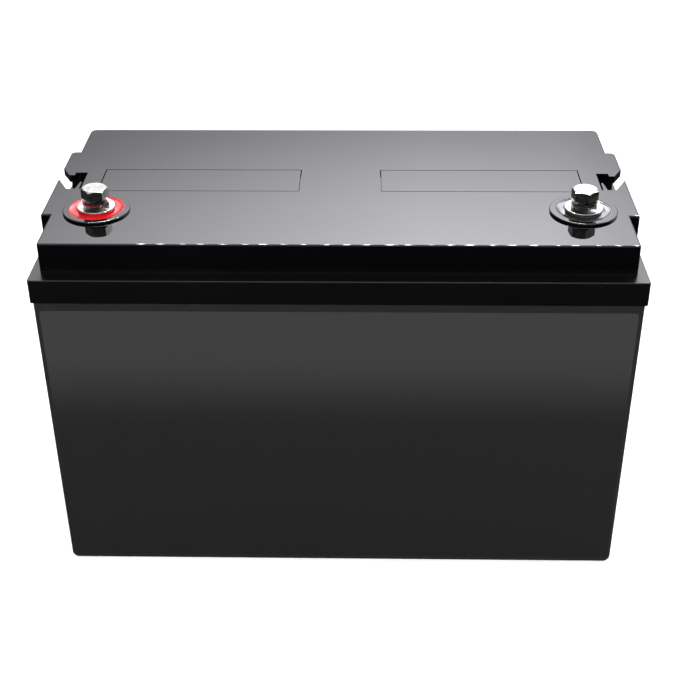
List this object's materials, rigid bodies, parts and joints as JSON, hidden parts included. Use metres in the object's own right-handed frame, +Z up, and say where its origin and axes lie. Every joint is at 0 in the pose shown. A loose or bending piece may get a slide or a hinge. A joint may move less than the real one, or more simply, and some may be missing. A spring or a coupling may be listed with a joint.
{
  "type": "battery pack",
  "caption": "Sealed black block battery with a flanged lid, bolt terminals in round collars, flush valve cover strips and hook slots at both ends.",
  "frame": {"origin": "centre of the underside, on the surface it stands on", "axes": "+X along the long side towards the negative terminal, -Y towards the terminal side, +Z up"},
  "size_m": [0.33, 0.173, 0.2258],
  "materials": {
    "moulded_black": "polished moulded ABS",
    "label_film": "satin printed film, blank",
    "resin_red": "glossy cast epoxy",
    "resin_black": "glossy cast epoxy",
    "bright_steel": "bright plated steel",
    "tinned_brass": "tinned",
    "lead": "dull cast lead",
    "positive_paste": "rough lead dioxide paste",
    "negative_paste": "rough sponge lead paste",
    "glass_mat": "absorbent glass fibre mat",
    "valve_rubber": "moulded rubber"
  },
  "bodies": {
    "case": {"container": "moulded_black", "lid": "moulded_black", "front_label": "label_film", "cell_welds": "lead", "cell_1_positive_plates": "positive_paste", "cell_1_negative_plates": "negative_paste", "cell_1_positive_strap": "lead", "cell_1_negative_strap": "lead", "cell_1_separators": "glass_mat", "cell_2_positive_plates": "positive_paste", "cell_2_negative_plates": "negative_paste", "cell_2_positive_strap": "lead", "cell_2_negative_strap": "lead", "cell_2_separators": "glass_mat", "cell_3_positive_plates": "positive_paste", "cell_3_negative_plates": "negative_paste", "cell_3_positive_strap": "lead", "cell_3_negative_strap": "lead", "cell_3_separators": "glass_mat", "cell_4_positive_plates": "positive_paste", "cell_4_negative_plates": "negative_paste", "cell_4_positive_strap": "lead", "cell_4_negative_strap": "lead", "cell_4_separators": "glass_mat", "cell_5_positive_plates": "positive_paste", "cell_5_negative_plates": "negative_paste", "cell_5_positive_strap": "lead", "cell_5_negative_strap": "lead", "cell_5_separators": "glass_mat", "cell_6_positive_plates": "positive_paste", "cell_6_negative_plates": "negative_paste", "cell_6_positive_strap": "lead", "cell_6_negative_strap": "lead", "cell_6_separators": "glass_mat", "positive_pillar": "lead", "positive_terminal_insert": "tinned_brass", "positive_ring_seal": "valve_rubber", "positive_terminal_resin": "resin_red", "negative_pillar": "lead", "negative_terminal_insert": "tinned_brass", "negative_ring_seal": "valve_rubber", "negative_terminal_resin": "resin_black"},
    "cover_left": {"valve_cover_left": "moulded_black"},
    "cover_right": {"valve_cover_right": "moulded_black"},
    "valve_1": {"safety_valve_1": "valve_rubber"},
    "valve_2": {"safety_valve_2": "valve_rubber"},
    "valve_3": {"safety_valve_3": "valve_rubber"},
    "valve_4": {"safety_valve_4": "valve_rubber"},
    "valve_5": {"safety_valve_5": "valve_rubber"},
    "valve_6": {"safety_valve_6": "valve_rubber"},
    "positive_washers": {"positive_flat_washer": "bright_steel", "positive_spring_washer": "bright_steel"},
    "positive_bolt": {"positive_bolt": "bright_steel"},
    "negative_washers": {"negative_flat_washer": "bright_steel", "negative_spring_washer": "bright_steel"},
    "negative_bolt": {"negative_bolt": "bright_steel"}
  },
  "joints": [
    {"name": "positive_bolt_lift", "type": "slide", "parent": "case", "child": "positive_washers", "axis": [0, 0, 1], "range_m": [0, 0.01375]},
    {"name": "positive_bolt_turn", "type": "hinge", "parent": "positive_washers", "child": "positive_bolt", "pos_m": [-0.1344, -0.0379, 0.2198], "axis": [0, 0, 1], "range_deg": [0, 3961]},
    {"name": "negative_bolt_lift", "type": "slide", "parent": "case", "child": "negative_washers", "axis": [0, 0, 1], "range_m": [0, 0.01375]},
    {"name": "negative_bolt_turn", "type": "hinge", "parent": "negative_washers", "child": "negative_bolt", "pos_m": [0.1344, -0.0379, 0.2198], "axis": [0, 0, 1], "range_deg": [0, 3961]},
    {"name": "cover_left_lift", "type": "slide", "parent": "case", "child": "cover_left", "axis": [0, 0, 1], "range_m": [0, 0.03]},
    {"name": "cover_right_lift", "type": "slide", "parent": "case", "child": "cover_right", "axis": [0, 0, 1], "range_m": [0, 0.03]},
    {"name": "valve_1_lift", "type": "slide", "parent": "case", "child": "valve_1", "axis": [0, 0, 1], "range_m": [0, 0.001], "stiffness_N_per_m": 1500, "springref_m": -0.0005},
    {"name": "valve_2_lift", "type": "slide", "parent": "case", "child": "valve_2", "axis": [0, 0, 1], "range_m": [0, 0.001], "stiffness_N_per_m": 1500, "springref_m": -0.0005},
    {"name": "valve_3_lift", "type": "slide", "parent": "case", "child": "valve_3", "axis": [0, 0, 1], "range_m": [0, 0.001], "stiffness_N_per_m": 1500, "springref_m": -0.0005},
    {"name": "valve_4_lift", "type": "slide", "parent": "case", "child": "valve_4", "axis": [0, 0, 1], "range_m": [0, 0.001], "stiffness_N_per_m": 1500, "springref_m": -0.0005},
    {"name": "valve_5_lift", "type": "slide", "parent": "case", "child": "valve_5", "axis": [0, 0, 1], "range_m": [0, 0.001], "stiffness_N_per_m": 1500, "springref_m": -0.0005},
    {"name": "valve_6_lift", "type": "slide", "parent": "case", "child": "valve_6", "axis": [0, 0, 1], "range_m": [0, 0.001], "stiffness_N_per_m": 1500, "springref_m": -0.0005}
  ],
  "couplings": [
    {"joint": "positive_bolt_turn", "follows": "positive_bolt_lift", "rad_per_m": 5026.5},
    {"joint": "negative_bolt_turn", "follows": "negative_bolt_lift", "rad_per_m": 5026.5}
  ]
}
